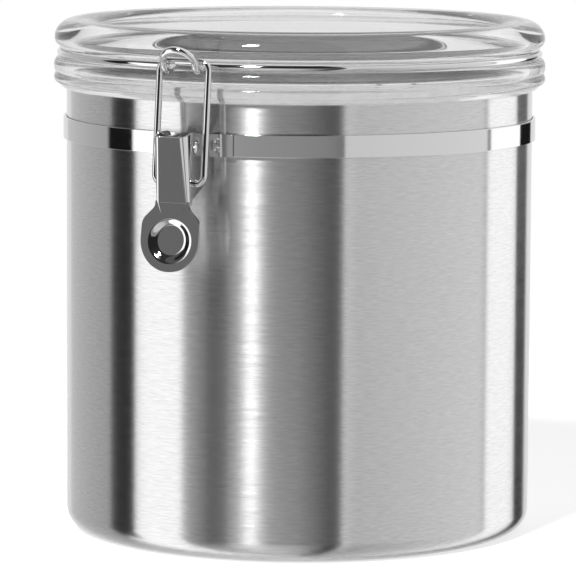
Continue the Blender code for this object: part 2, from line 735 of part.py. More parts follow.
def riser_outline():
    """Side view of the hinge riser: up the band, then out to the knuckle."""
    middle = (PLATE_INNER + PLATE_OUTER) / 2
    bend = Vector((middle, BAND_TOP + HINGE_RISER_BEND_RISE))
    centre = Vector((HINGE_Y, HINGE_Z))
    radius = KNUCKLE_OUTER - KNUCKLE_WALL / 2
    to_centre = centre - bend
    spread = math.asin(radius / to_centre.length)
    heading = math.atan2(to_centre.y, to_centre.x) + spread
    length = math.sqrt(to_centre.length ** 2 - radius ** 2)
    along = Vector((math.cos(heading), math.sin(heading)))
    across = Vector((-along.y, along.x)) * (PLATE_THICKNESS / 2)
    end = bend + along * length
    half = PLATE_THICKNESS / 2
    turn = (math.pi / 2 - heading) / 2
    miter = half * math.tan(turn)
    low = BAND_BOTTOM + BAND_EDGE
    outline = [
        (middle + half, low),
        (middle + half, bend.y - miter),
        (end.x - across.x, end.y - across.y),
        (end.x + across.x, end.y + across.y),
        (middle - half, bend.y + miter),
        (middle - half, low),
    ]
    return outline


def make_hinge_bracket(parts, cutters, steel):
    flat = Matrix.Translation((0.0, 0.0, BAND_MIDDLE))
    outline = curved_plate_outline(HINGE_PLATE_REACH, 1, HINGE_PLATE_FACETS)
    bracket = plate("hinge_bracket", outline, BAND_WIDTH, flat, parts, steel)
    axes = Matrix(((0.0, 0.0, 1.0), (1.0, 0.0, 0.0), (0.0, 1.0, 0.0))).to_4x4()
    riser = plate("hinge_riser", riser_outline(), 2.0 * KNUCKLE_HALF, axes, cutters)
    boolean(bracket, hide_cutter(riser), "UNION")
    centre = Vector((0.0, HINGE_Y, HINGE_Z))
    knuckle = cross_rod("hinge_knuckle", KNUCKLE_OUTER, KNUCKLE_HALF, centre, cutters)
    boolean(bracket, knuckle, "UNION")
    bore = cross_rod("hinge_bore", KNUCKLE_INNER, KNUCKLE_HALF + KNUCKLE_WALL, centre, cutters)
    boolean(bracket, bore, "DIFFERENCE")
    return bracket


def main():
    clear_scene()
    parts = new_collection("food_canister")
    cutters = new_collection("cutters")
    brushed = metal("brushed_steel", (0.62, 0.62, 0.62), 0.32)
    polished = metal("polished_steel", (0.72, 0.72, 0.72), 0.08)
    clear = principled("clear_acrylic", (0.95, 0.95, 0.95), 0.03, transmission=1.0)
    rubber = principled("clear_silicone", (0.85, 0.85, 0.85), 0.35, transmission=0.6)

    make_body(parts, brushed)
    make_band(parts, polished)
    bracket = make_latch_bracket(parts, cutters, polished)
    make_lever_pin(parts, polished)
    hinge_bracket = make_hinge_bracket(parts, cutters, polished)
    shade_round(bracket)
    shade_round(hinge_bracket)

    lever = make_lever(parts, cutters, polished)
    shade_round(lever)
    set_origin(lever, front(0.0, PIVOT_REACH, PIVOT_Z))
    bail = make_bail(parts, polished)
    set_origin(bail, front(0.0, BAIL_PIVOT_REACH, BAIL_PIVOT_Z))

    hinge = bpy.data.objects.new("lid_hinge_axis", None)
    hinge.location = (0.0, HINGE_Y, HINGE_Z)
    parts.objects.link(hinge)
    lid_pieces = [
        make_lid(parts, clear),
        make_gasket(parts, rubber),
        make_lid_ring(parts, polished),
    ]
    for piece in lid_pieces:
        piece.parent = hinge
        piece.matrix_parent_inverse = Matrix.Translation(-hinge.location)


main()
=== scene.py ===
# %% [markdown]
# # A clear-lidded steel canister
#
# This lesson dresses a measured model of a food canister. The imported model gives
# the bodies and joints, and every piece below is built in metres in its frame:
# Z is up, the wire clamp faces -Y and the lid's hinge is at +Y. Most pieces are
# turned on the can's own axis, so one small lathe does much of the work.

import math

import bmesh
import bpy
from mathutils import Matrix, Vector
from mathutils.geometry import intersect_line_line_2d


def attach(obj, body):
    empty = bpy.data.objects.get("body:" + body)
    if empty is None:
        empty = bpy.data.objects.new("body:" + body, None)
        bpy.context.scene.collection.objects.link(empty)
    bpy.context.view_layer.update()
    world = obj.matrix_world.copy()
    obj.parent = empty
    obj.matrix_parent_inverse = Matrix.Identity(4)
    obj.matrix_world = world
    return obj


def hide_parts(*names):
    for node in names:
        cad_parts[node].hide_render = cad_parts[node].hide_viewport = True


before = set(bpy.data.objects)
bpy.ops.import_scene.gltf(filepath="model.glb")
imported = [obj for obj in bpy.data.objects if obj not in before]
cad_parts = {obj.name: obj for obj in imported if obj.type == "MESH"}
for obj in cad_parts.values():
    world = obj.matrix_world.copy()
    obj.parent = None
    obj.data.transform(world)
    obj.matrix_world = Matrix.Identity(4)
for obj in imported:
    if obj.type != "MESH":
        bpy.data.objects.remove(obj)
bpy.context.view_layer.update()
MM = 0.001

# %% [markdown]
# ## Sizes that several pieces share
#
# A round can is described by radii and heights. They are kept together here,
# because the lid must clear the rim, the band must clear the wall, and the clamp
# must reach from one to the other.

# %% Shared sizes
FIT_GAP = 0.35 * MM
SEAT_GAP = 0.3 * MM

CAN_RADIUS = 87.4 * MM
CAN_WALL = 0.8 * MM
CAN_HEIGHT = 170.5 * MM
BASE_CORNER = 7.5 * MM
RIM_BEAD = 0.85 * MM
RIM_PROUD = 0.3 * MM

BAND_TOP = CAN_HEIGHT - 15.3 * MM
BAND_WIDTH = 8.1 * MM
BAND_BOTTOM = BAND_TOP - BAND_WIDTH
BAND_MIDDLE = BAND_TOP - BAND_WIDTH / 2
BAND_INNER = CAN_RADIUS + FIT_GAP
BAND_OUTER = BAND_INNER + 0.9 * MM

LEDGE_Z = CAN_HEIGHT + FIT_GAP
SKIRT_INNER = CAN_RADIUS + RIM_PROUD + FIT_GAP
WIRE_RADIUS = 1.3 * MM
GROOVE_RADIUS = WIRE_RADIUS + FIT_GAP
RING_RADIUS = SKIRT_INNER + GROOVE_RADIUS
RING_Z = LEDGE_Z + 8.35 * MM

PLUG_OUTER = CAN_RADIUS - CAN_WALL - 3.4 * MM
PLUG_BOTTOM = LEDGE_Z - 12.5 * MM
PLUG_FOOT = 2.0 * MM

PIVOT_REACH = BAND_OUTER + 9.55 * MM
PIVOT_Z = BAND_MIDDLE - 0.6 * MM
BAIL_PIVOT_REACH = PIVOT_REACH - 0.2 * MM
BAIL_PIVOT_Z = PIVOT_Z - 12.6 * MM
HINGE_Y = SKIRT_INNER + 7.95 * MM
HINGE_Z = CAN_HEIGHT - 3.5 * MM
SHEET = 0.9 * MM
LEVER_HALF = 6.6 * MM
PLATE_INNER = BAND_OUTER + SEAT_GAP
PLATE_OUTER = PLATE_INNER + 0.8 * MM
TURN_STEPS = 240
print("can %.1f mm wide, lid ring at %.1f mm" % (2000 * CAN_RADIUS, 1000 * RING_Z))

# %% [markdown]
# ## Small tools
#
# An arc gives points on a rounded stretch of a profile, a fillet rounds the
# corners of a path, and the lathe turns a profile round the Z axis. A profile
# that is turned in code has as many points as it needs, and no seam to weld.

# %% Arcs, fillets and the lathe
def front(x, reach, z):
    """Point on the clamp side, at a reach out from the can's axis."""
    return Vector((x, -reach, z))


def arc(centre, radius_u, radius_v, start, end, step=7.5):
    """Points of an elliptical arc from one angle to another, in degrees."""
    count = max(1, math.ceil(abs(end - start) / step - 1e-6))
    angles = [math.radians(start + (end - start) * i / count) for i in range(count + 1)]
    return [
        (centre[0] + radius_u * math.cos(a), centre[1] + radius_v * math.sin(a))
        for a in angles
    ]


def fillet(path, closed=False, step=7.5):
    """Points of a polyline with rounded corners; the path is (point, radius) pairs."""
    points = []
    for i, (corner, radius) in enumerate(path):
        corner = Vector(corner)
        is_end = not closed and i in (0, len(path) - 1)
        if is_end or radius <= 0.0:
            points.append(corner)
            continue
        before = (Vector(path[i - 1][0]) - corner).normalized()
        after = (Vector(path[(i + 1) % len(path)][0]) - corner).normalized()
        opening = before.angle(after)
        turn = math.pi - opening
        if turn < 1e-4:
            points.append(corner)
            continue
        reach = radius / math.tan(opening / 2)
        centre = corner + (before + after).normalized() * (radius / math.sin(opening / 2))
        first = corner + before * reach - centre
        last = corner + after * reach - centre
        pieces = max(2, math.ceil(math.degrees(turn) / step))
        for k in range(pieces + 1):
            part = k / pieces
            points.append(
                centre
                + first * (math.sin((1 - part) * turn) / math.sin(turn))
                + last * (math.sin(part * turn) / math.sin(turn))
            )
    return points


def new_object(name, mesh):
    obj = bpy.data.objects.new(name, mesh)
    bpy.context.scene.collection.objects.link(obj)
    return obj


def lathe(name, profile, steps=TURN_STEPS, closed=True):
    """Turn a profile of (radius, height) points round Z into a smooth mesh."""
    shape = bmesh.new()
    rings = []
    for radius, z in profile:
        if radius < 1e-7:
            rings.append([shape.verts.new((0.0, 0.0, z))])
            continue
        turn = [2 * math.pi * i / steps for i in range(steps)]
        rings.append([
            shape.verts.new((radius * math.cos(a), radius * math.sin(a), z)) for a in turn
        ])
    pairs = list(zip(rings, rings[1:]))
    if closed and len(rings[0]) > 1:
        pairs.append((rings[-1], rings[0]))
    for upper, lower in pairs:
        for i in range(steps):
            j = (i + 1) % steps
            corners = [
                upper[i % len(upper)], upper[j % len(upper)],
                lower[j % len(lower)], lower[i % len(lower)],
            ]
            unique = []
            for corner in corners:
                if corner not in unique:
                    unique.append(corner)
            if len(unique) > 2:
                shape.faces.new(unique)
    bmesh.ops.recalc_face_normals(shape, faces=shape.faces)
    for face in shape.faces:
        face.smooth = True
    mesh = bpy.data.meshes.new(name)
    shape.to_mesh(mesh)
    shape.free()
    return new_object(name, mesh)


print("an eighth of a turn takes", len(arc((0, 0), 1, 1, 0, 45)) - 1, "steps")

# %% [markdown]
# ## Tools for wire and sheet metal
#
# Bent wire is a curve with a round bevel, turned into a mesh so that the export
# keeps it. Sheet metal starts as a flat outline that is given a thickness, and
# its holes and pressed shapes are cut afterwards. A narrow bevel then catches a
# line of light along each edge, as real sheared metal does.

# %% Wire, plates and cuts
def wire(name, points, radius, closed=False, sides=6):
    """Round wire along a path, as a mesh."""
    curve = bpy.data.curves.new(name, "CURVE")
    curve.dimensions = "3D"
    curve.bevel_depth = radius
    curve.bevel_resolution = sides
    curve.use_fill_caps = True
    spline = curve.splines.new("POLY")
    spline.points.add(len(points) - 1)
    for point, place in zip(spline.points, points):
        point.co = (*place, 1.0)
    spline.use_cyclic_u = closed
    return curve_to_mesh(name, curve)


def curve_to_mesh(name, curve, transform=None):
    """Give a curve's evaluated shape to a mesh object, with its caps welded."""
    source = new_object(name + "_curve", curve)
    bpy.context.view_layer.update()
    graph = bpy.context.evaluated_depsgraph_get()
    mesh = bpy.data.meshes.new_from_object(source.evaluated_get(graph))
    bpy.data.objects.remove(source, do_unlink=True)
    bpy.data.curves.remove(curve)
    shape = bmesh.new()
    shape.from_mesh(mesh)
    bmesh.ops.remove_doubles(shape, verts=shape.verts, dist=0.001 * MM)
    if transform is not None:
        bmesh.ops.transform(shape, matrix=transform, verts=shape.verts)
    bmesh.ops.recalc_face_normals(shape, faces=shape.faces)
    shape.to_mesh(mesh)
    shape.free()
    mesh.name = name
    obj = new_object(name, mesh)
    obj.data.shade_smooth()
    obj.data.set_sharp_from_angle(angle=math.radians(40))
    return obj


def plate(name, outline, thickness, transform):
    """Flat plate: the outline lies in the transform's XY plane, centred on it."""
    curve = bpy.data.curves.new(name, "CURVE")
    curve.dimensions = "2D"
    curve.fill_mode = "BOTH"
    curve.extrude = thickness / 2
    spline = curve.splines.new("POLY")
    spline.points.add(len(outline) - 1)
    for point, (u, v) in zip(spline.points, outline):
        point.co = (u, v, 0.0, 1.0)
    spline.use_cyclic_u = True
    return curve_to_mesh(name, curve, transform)


def loft(name, sections):
    """Closed solid through sections with equal numbers of points."""
    shape = bmesh.new()
    rings = [[shape.verts.new(point) for point in section] for section in sections]
    for lower, upper in zip(rings, rings[1:]):
        for i in range(len(lower)):
            j = (i + 1) % len(lower)
            shape.faces.new((lower[i], lower[j], upper[j], upper[i]))
    shape.faces.new(reversed(rings[0]))
    shape.faces.new(rings[-1])
    bmesh.ops.recalc_face_normals(shape, faces=shape.faces)
    mesh = bpy.data.meshes.new(name)
    shape.to_mesh(mesh)
    shape.free()
    return new_object(name, mesh)


def side_frame(reach, z, x=0.0):
    """Frame with X outward on the clamp side, Y up and Z across."""
    axes = Matrix(((0.0, 0.0, -1.0), (-1.0, 0.0, 0.0), (0.0, 1.0, 0.0))).to_4x4()
    return Matrix.Translation(front(x, reach, z)) @ axes


def across_frame(point):
    """Frame whose Z axis runs across the clamp, for pins and holes."""
    return Matrix.Translation(point) @ Matrix.Rotation(math.pi / 2, 4, "Y")


def rod(name, radius, half_length, transform, steps=48):
    shape = lathe(name, [
        (0.0, half_length), (radius, half_length),
        (radius, -half_length), (0.0, -half_length),
    ], steps)
    shape.data.transform(transform)
    return shape


def combine(obj, tool, operation):
    """Apply one Boolean and remove its tool."""
    modifier = obj.modifiers.new(operation.title(), "BOOLEAN")
    modifier.operation = operation
    modifier.solver = "EXACT"
    modifier.object = tool
    bpy.context.view_layer.update()
    graph = bpy.context.evaluated_depsgraph_get()
    mesh = bpy.data.meshes.new_from_object(obj.evaluated_get(graph))
    obj.modifiers.clear()
    old = obj.data
    obj.data = mesh
    bpy.data.meshes.remove(old)
    bpy.data.objects.remove(tool, do_unlink=True)
    return obj


def finish_metal(obj, edge=0.12 * MM, angle=28):
    """Break the sharp edges and let large faces keep their flat normals."""
    for face in obj.data.polygons:
        face.use_smooth = True
    bevel = obj.modifiers.new("Broken edge", "BEVEL")
    bevel.width = edge
    bevel.segments = 2
    bevel.limit_method = "ANGLE"
    bevel.angle_limit = math.radians(angle)
    bevel.use_clamp_overlap = True
    normals = obj.modifiers.new("Flat faces", "WEIGHTED_NORMAL")
    normals.mode = "FACE_AREA"
    normals.weight = 90
    return obj


print("tools ready")

# %% [markdown]
# ## Polished and brushed steel
#
# Both steels are the same grey metal, and only their surface differs. The clamp
# and the band are polished, so they mirror the studio sharply. The can is
# brushed round its wall: each fine groove runs round the can, so a reflection
# keeps its width but is smeared up and down. An anisotropic shader does that,
# with a tangent that circles the Z axis.

# %% Node helpers
def new_material(name):
    material = bpy.data.materials.new(name)
    material.use_nodes = True
    tree = material.node_tree
    return material, tree, tree.nodes["Principled BSDF"]


def stretched_noise(tree, scale, detail, name):
    """Noise on the object's own coordinates, with one scale per axis."""
    place = tree.nodes.new("ShaderNodeTexCoord")
    mapping = tree.nodes.new("ShaderNodeMapping")
    mapping.inputs["Scale"].default_value = scale
    noise = tree.nodes.new("ShaderNodeTexNoise")
    noise.name = name
    noise.inputs["Scale"].default_value = 1.0
    noise.inputs["Detail"].default_value = detail
    tree.links.new(place.outputs["Object"], mapping.inputs["Vector"])
    tree.links.new(mapping.outputs["Vector"], noise.inputs["Vector"])
    return noise


def remap(tree, value, low, high):
    """Spread a 0 to 1 texture value between two numbers."""
    ramp = tree.nodes.new("ShaderNodeMapRange")
    ramp.inputs["From Min"].default_value = 0.3
    ramp.inputs["From Max"].default_value = 0.7
    ramp.inputs["To Min"].default_value = low
    ramp.inputs["To Max"].default_value = high
    tree.links.new(value, ramp.inputs["Value"])
    return ramp.outputs["Result"]


def bump(tree, shader, height, strength, distance):
    node = tree.nodes.new("ShaderNodeBump")
    node.inputs["Strength"].default_value = strength
    node.inputs["Distance"].default_value = distance
    tree.links.new(height, node.inputs["Height"])
    tree.links.new(node.outputs["Normal"], shader.inputs["Normal"])


# %% Brushed steel
def make_brushed_steel():
    material, tree, shader = new_material("brushed_steel")
    shader.inputs["Metallic"].default_value = 1.0
    shader.inputs["Anisotropic"].default_value = 1.0
    tangent = tree.nodes.new("ShaderNodeTangent")
    tangent.direction_type = "RADIAL"
    tangent.axis = "Z"
    tree.links.new(tangent.outputs["Tangent"], shader.inputs["Tangent"])
    shader.inputs["Anisotropic Rotation"].default_value = 0.25
    grain = stretched_noise(tree, (260.0, 260.0, 3200.0), 2.0, "Brush marks")
    tone = stretched_noise(tree, (60.0, 60.0, 900.0), 3.0, "Long brush marks")
    mix = tree.nodes.new("ShaderNodeMix")
    mix.data_type = "RGBA"
    mix.inputs["A"].default_value = (0.66, 0.66, 0.66, 1.0)
    mix.inputs["B"].default_value = (0.76, 0.76, 0.76, 1.0)
    tree.links.new(remap(tree, grain.outputs["Fac"], 0.0, 1.0), mix.inputs["Factor"])
    tree.links.new(mix.outputs["Result"], shader.inputs["Base Color"])
    tree.links.new(remap(tree, tone.outputs["Fac"], 0.20, 0.235), shader.inputs["Roughness"])
    bump(tree, shader, grain.outputs["Fac"], 0.4, 0.02 * MM)
    return material


# %% Polished steel
def make_polished_steel():
    material, tree, shader = new_material("polished_steel")
    shader.inputs["Metallic"].default_value = 1.0
    shader.inputs["Base Color"].default_value = (0.78, 0.78, 0.78, 1.0)
    haze = stretched_noise(tree, (900.0, 900.0, 900.0), 3.0, "Polishing haze")
    tree.links.new(remap(tree, haze.outputs["Fac"], 0.03, 0.08), shader.inputs["Roughness"])
    wave = stretched_noise(tree, (45.0, 45.0, 45.0), 1.0, "Rolled surface")
    bump(tree, shader, wave.outputs["Fac"], 0.10, 0.05 * MM)
    return material


brushed_steel = make_brushed_steel()
polished_steel = make_polished_steel()

# %% [markdown]
# ## Clear acrylic and silicone
#
# The lid is one moulding of clear acrylic, so its look comes from how light
# bends through its ribs. Acrylic bends light by 1.49. Light caught inside the
# moulding can run far, so a ray is given enough turns to find its way out. The
# absorption is set to darken those long paths, and is well above that of real
# acrylic. The seal is a translucent silicone ring that scatters softly.

# %% Clear acrylic
def make_clear_acrylic():
    material, tree, shader = new_material("clear_acrylic")
    shader.inputs["Base Color"].default_value = (0.985, 0.985, 0.985, 1.0)
    shader.inputs["Transmission Weight"].default_value = 1.0
    shader.inputs["IOR"].default_value = 1.49
    smear = stretched_noise(tree, (30.0, 30.0, 120.0), 2.0, "Handling marks")
    tree.links.new(remap(tree, smear.outputs["Fac"], 0.0, 0.03), shader.inputs["Roughness"])
    depth = tree.nodes.new("ShaderNodeVolumeAbsorption")
    depth.inputs["Color"].default_value = (0.0, 0.0, 0.0, 1.0)
    depth.inputs["Density"].default_value = 8.0
    output = next(node for node in tree.nodes if node.type == "OUTPUT_MATERIAL")
    tree.links.new(depth.outputs["Volume"], output.inputs["Volume"])
    return material


def let_light_run(turns):
    cycles = bpy.context.scene.cycles
    cycles.max_bounces = turns
    cycles.glossy_bounces = turns
    cycles.transmission_bounces = turns


# %% Silicone
def make_silicone():
    material, tree, shader = new_material("clear_silicone")
    shader.inputs["Base Color"].default_value = (0.86, 0.86, 0.86, 1.0)
    shader.inputs["Transmission Weight"].default_value = 0.5
    shader.inputs["IOR"].default_value = 1.41
    bloom = stretched_noise(tree, (400.0, 400.0, 400.0), 3.0, "Surface bloom")
    tree.links.new(remap(tree, bloom.outputs["Fac"], 0.28, 0.45), shader.inputs["Roughness"])
    return material


clear_acrylic = make_clear_acrylic()
let_light_run(48)
silicone = make_silicone()


def place(obj, body, material, slot, *nodes):
    """Give a piece its finish, its body and the solids that it stands for."""
    if not obj.modifiers:
        normals = obj.modifiers.new("Flat faces", "WEIGHTED_NORMAL")
        normals.mode = "FACE_AREA"
        normals.keep_sharp = True
    obj.data.materials.clear()
    obj.data.materials.append(material)
    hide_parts(*nodes)
    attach(obj, body)
    print("%-16s %6d faces" % (obj.name, len(obj.data.polygons)))
    return obj


# %% [markdown]
# ## The can
#
# The can is drawn from sheet steel: a straight wall, a rounded corner at the
# base and a small bead rolled at the rim. It is one closed profile, down the
# outside and up the inside, turned on the axis.

# %% The can
def can_profile():
    bead_centre = (CAN_RADIUS + RIM_PROUD - RIM_BEAD, CAN_HEIGHT - RIM_BEAD)
    corner_centre = (CAN_RADIUS - BASE_CORNER, BASE_CORNER)
    inside_corner = BASE_CORNER - CAN_WALL
    neck_z = CAN_HEIGHT - 2 * RIM_BEAD
    profile = arc(bead_centre, RIM_BEAD, RIM_BEAD, 90, -40)
    profile.append((CAN_RADIUS, neck_z))
    profile += [(CAN_RADIUS, BASE_CORNER + (neck_z - BASE_CORNER) * k / 8) for k in range(7, 0, -1)]
    profile += arc(corner_centre, BASE_CORNER, BASE_CORNER, 0, -90, 3.0)
    profile += [(0.0, 0.0), (0.0, CAN_WALL)]
    profile += arc(corner_centre, inside_corner, inside_corner, -90, 0)
    profile.append((CAN_RADIUS - CAN_WALL, neck_z - CAN_WALL))
    profile += arc(bead_centre, RIM_BEAD, RIM_BEAD, 252, 98)
    return profile


can = lathe("can_shell", can_profile())
place(can, "can", brushed_steel, "brushed_steel", "canister_body")

# %% [markdown]
# ## The band
#
# A flat polished strip is pulled tight round the can and carries both the latch
# and the hinge. Its edges are barely broken, so they show as two bright lines.

# %% The band
def band_profile():
    edge = 0.2 * MM
    outer = BAND_OUTER - edge
    profile = arc((outer, BAND_TOP - edge), edge, edge, 90, 0, 30)
    profile += arc((outer, BAND_BOTTOM + edge), edge, edge, 0, -90, 30)
    profile += [(BAND_INNER, BAND_BOTTOM), (BAND_INNER, BAND_TOP)]
    return profile


band = lathe("strap_band", band_profile())
band.data.set_sharp_from_angle(angle=math.radians(50))
place(band, "can", polished_steel, "polished_steel", "clamp_band")

# %% [markdown]
# ## The lid
#
# The lid is one turned moulding. From the middle outwards it has a sunken flat
# top, a raised rim with a round shoulder, a groove for the wire and two beads
# round the skirt, which is bevelled in to the can below them. Inside are a ledge
# that sits on the can's rim and a thin plug that reaches into the can. Every
# rounded stretch is an arc, because clear plastic shows each facet twice, once
# in front and once behind.

# %% The lid
CREST_Z = LEDGE_Z + 20.8 * MM
LID_FLOOR_Z = CREST_Z - 3.0 * MM
SHOULDER_Z = LEDGE_Z + 13.8 * MM
SHOULDER_OUTER = SKIRT_INNER + 3.9 * MM
SHOULDER_WIDTH = 7.8 * MM
CREST_RADIUS = SHOULDER_OUTER - SHOULDER_WIDTH
RIM_SLOPE = 8.6 * MM


def lid_outside():
    undercut = 3.1 * MM
    floor_edge = CREST_RADIUS - RIM_SLOPE
    profile = [(0.0, LID_FLOOR_Z)]
    profile += [(floor_edge * k / 6, LID_FLOOR_Z) for k in range(1, 6)]
    profile += arc((CREST_RADIUS, LID_FLOOR_Z), RIM_SLOPE, CREST_Z - LID_FLOOR_Z, 180, 90, 4.5)
    profile += arc((CREST_RADIUS, SHOULDER_Z), SHOULDER_WIDTH, CREST_Z - SHOULDER_Z,
                   90, 0, 4.5)[1:]
    profile += arc((SHOULDER_OUTER - undercut, SHOULDER_Z), undercut, undercut, 0, -62)[1:]
    groove = arc((RING_RADIUS, RING_Z), GROOVE_RADIUS, GROOVE_RADIUS, 78, 284)
    profile += groove
    upper_z = LEDGE_Z + 3.7 * MM
    upper_outer = SKIRT_INNER + 4.1 * MM
    notch_z = LEDGE_Z + 0.8 * MM
    notch_outer = SKIRT_INNER + 3.1 * MM
    lower_z = LEDGE_Z - 1.0 * MM
    lower_outer = SKIRT_INNER + 4.1 * MM
    start = groove[-1]
    profile += arc((start[0], upper_z), upper_outer - start[0], start[1] - upper_z, 70, 0)
    profile += arc((notch_outer, upper_z), upper_outer - notch_outer, upper_z - notch_z,
                   0, -90, 15)[1:]
    profile += arc((notch_outer, lower_z), lower_outer - notch_outer, notch_z - lower_z,
                   78, 0, 13)
    under = 2.0 * MM
    profile += arc((lower_outer - under, lower_z), under, under, 0, -65)[1:]
    profile.append((SKIRT_INNER + 0.5 * MM, LEDGE_Z - 4.85 * MM))
    return profile


def lid_inside():
    channel_outer = SKIRT_INNER - 3.1 * MM
    crown_z = CREST_Z - 2.45 * MM
    middle = (channel_outer + PLUG_OUTER) / 2
    half = (channel_outer - PLUG_OUTER) / 2
    plug_inner = PLUG_OUTER - 3.0 * MM
    underside = LID_FLOOR_Z - 4.45 * MM
    soft = 0.4 * MM
    foot_top = PLUG_BOTTOM + PLUG_FOOT
    foot_outer = PLUG_OUTER + 1.5 * MM
    corners = [
        ((SKIRT_INNER, LEDGE_Z - 4.5 * MM), 0.0),
        ((SKIRT_INNER, LEDGE_Z), soft),
        ((channel_outer, LEDGE_Z), soft),
        ((channel_outer, crown_z - half), 0.0),
    ]
    profile = [(p.x, p.y) for p in fillet([((r, z, 0.0), w) for (r, z), w in corners], step=15)]
    profile += arc((middle, crown_z - half), half, half, 0, 180, 10)[1:]
    corners = [
        ((PLUG_OUTER, crown_z - 2 * half), 0.0),
        ((PLUG_OUTER, foot_top), soft),
        ((foot_outer, foot_top), soft),
        ((foot_outer, PLUG_BOTTOM), soft),
        ((plug_inner, PLUG_BOTTOM), soft * 2),
        ((plug_inner, underside), 2.0 * MM),
        ((plug_inner * 0.8, underside), 0.0),
    ]
    profile += [(p.x, p.y) for p in fillet([((r, z, 0.0), w) for (r, z), w in corners], step=15)]
    profile += [(plug_inner * k / 6, underside) for k in range(4, 0, -1)]
    profile.append((0.0, underside))
    return profile


lid = lathe("clear_lid", lid_outside() + lid_inside())
place(lid, "lid", clear_acrylic, "clear_acrylic", "lid")

# %% [markdown]
# ## The seal
#
# A silicone ring sits on the plug's foot, just under the ledge, and presses
# outwards on the can when the clamp is shut. Two soft lips meet the wall.

# %% The seal
def seal_profile():
    inner = PLUG_OUTER + SEAT_GAP
    rim_inner = CAN_RADIUS + RIM_PROUD - 2 * RIM_BEAD
    outer = rim_inner - FIT_GAP
    bottom = PLUG_BOTTOM + PLUG_FOOT + SEAT_GAP
    height = 6.0 * MM
    lip = 0.6 * MM
    profile = [(inner, bottom + height)]
    for level in (0.75, 0.25):
        profile += arc((outer - lip, bottom + height * level), lip, height * 0.24, 90, -90, 20)
    profile.append((inner, bottom))
    return profile


seal = lathe("seal_ring", seal_profile())
place(seal, "lid", silicone, "clear_silicone", "lid_gasket")

# %% [markdown]
# ## The lid's wire
#
# One length of wire lies in the lid's groove. At the front it leaves the groove,
# dips under the bail's bar and rises in an arch, which is the hook that the bail
# pulls on. At the back it leaves again, turns down and passes through the
# knuckle, so the same wire is also the hinge pin.

# %% The lid's wire
HOOK_HALF = 6.2 * MM
HOOK_REACH = RING_RADIUS + 8.4 * MM
HOOK_TOE_Z = RING_Z - 2.0 * MM
HOOK_LEG_Z = RING_Z + 1.8 * MM
HINGE_HALF = 8.5 * MM


def groove_point(angle, side):
    return Vector((side * RING_RADIUS * math.sin(angle), -RING_RADIUS * math.cos(angle), RING_Z))


def hook_side(side):
    bend = 2.6 * MM
    root_angle = math.asin(HOOK_HALF / RING_RADIUS)
    return [
        (groove_point(root_angle, side), bend),
        (front(side * HOOK_HALF, HOOK_REACH, HOOK_TOE_Z), 2.9 * MM),
        (front(side * HOOK_HALF, HOOK_REACH, HOOK_LEG_Z), 0.0),
    ]


def hinge_side(side):
    root_angle = math.pi - math.asin(HINGE_HALF / RING_RADIUS)
    return [
        (groove_point(root_angle, side), 2.6 * MM),
        (Vector((side * HINGE_HALF, HINGE_Y, RING_Z)), 2.9 * MM),
        (Vector((side * HINGE_HALF, HINGE_Y, HINGE_Z)), 2.0 * MM),
    ]


def hook_arch():
    rise, lean = 4.6 * MM, 4.0 * MM
    angles = [math.radians(a) for a in range(10, 171, 10)]
    return [
        (front(-HOOK_HALF * math.cos(a), HOOK_REACH + lean * math.sin(a),
               HOOK_LEG_Z + rise * math.sin(a)), 0.0)
        for a in angles
    ]


def ring_run(side):
    """Points in the groove between the hook's root and the hinge's."""
    first = math.asin((HOOK_HALF + 3.0 * MM) / RING_RADIUS)
    last = math.pi - math.asin((HINGE_HALF + 3.0 * MM) / RING_RADIUS)
    count = 110
    return [(groove_point(first + (last - first) * i / count, side), 0.0)
            for i in range(count + 1)]


ring_path = hook_side(-1) + hook_arch() + hook_side(1)[::-1] + ring_run(1)
ring_path += hinge_side(1) + hinge_side(-1)[::-1] + ring_run(-1)[::-1]
ring = wire("lid_wire", fillet(ring_path, closed=True), WIRE_RADIUS, closed=True)
place(ring, "lid", polished_steel, "polished_steel", "lid_ring_wire")

# %% [markdown]
# ## The bail
#
# The bail is a rectangle of wire whose two feet turn in and sit in the lever's
# flanges. Its top bar hooks behind the arch. The corners are bent round a
# former, so they are true arcs.

# %% The bail
BAIL_RADIUS = 1.25 * MM
BAIL_HALF = 9.75 * MM
BAR_REACH = RING_RADIUS + 4.3 * MM
HOOK_SLOPE = 2.0 / 8.4
WIRE_SEAT = WIRE_RADIUS + BAIL_RADIUS + FIT_GAP
BAR_Z = RING_Z - HOOK_SLOPE * 4.3 * MM + WIRE_SEAT * math.hypot(1.0, HOOK_SLOPE)
tip = LEVER_HALF - SHEET - 0.8 * MM
bail_path = [
    (front(-tip, BAIL_PIVOT_REACH, BAIL_PIVOT_Z), 0.0),
    (front(-BAIL_HALF, BAIL_PIVOT_REACH, BAIL_PIVOT_Z), 3.0 * MM),
    (front(-BAIL_HALF, BAR_REACH, BAR_Z), 3.4 * MM),
    (front(BAIL_HALF, BAR_REACH, BAR_Z), 3.4 * MM),
    (front(BAIL_HALF, BAIL_PIVOT_REACH, BAIL_PIVOT_Z), 3.0 * MM),
    (front(tip, BAIL_PIVOT_REACH, BAIL_PIVOT_Z), 0.0),
]
bail = wire("bail", fillet(bail_path, step=5.0), BAIL_RADIUS)
place(bail, "bail", polished_steel, "polished_steel", "bail_wire")
print("bail bar at %.1f mm" % (BAR_Z / MM))

# %% [markdown]
# ## The lever
#
# The lever is pressed from one strip: a channel whose two flanges hold the pin
# and the bail's feet, and a round tab for the finger with a dish pressed into
# it. The channel is lofted through three sections, its flanges are trimmed to
# their side view, and the tab and its dish are joined on.

# %% The lever's channel
FACE_TOP = (8.3 * MM, 4.4 * MM)
FACE_WAIST = (5.4 * MM, -19.1 * MM)
FLANGE_TOP = 5.9 * MM
FLANGE_BACK = 5.7 * MM


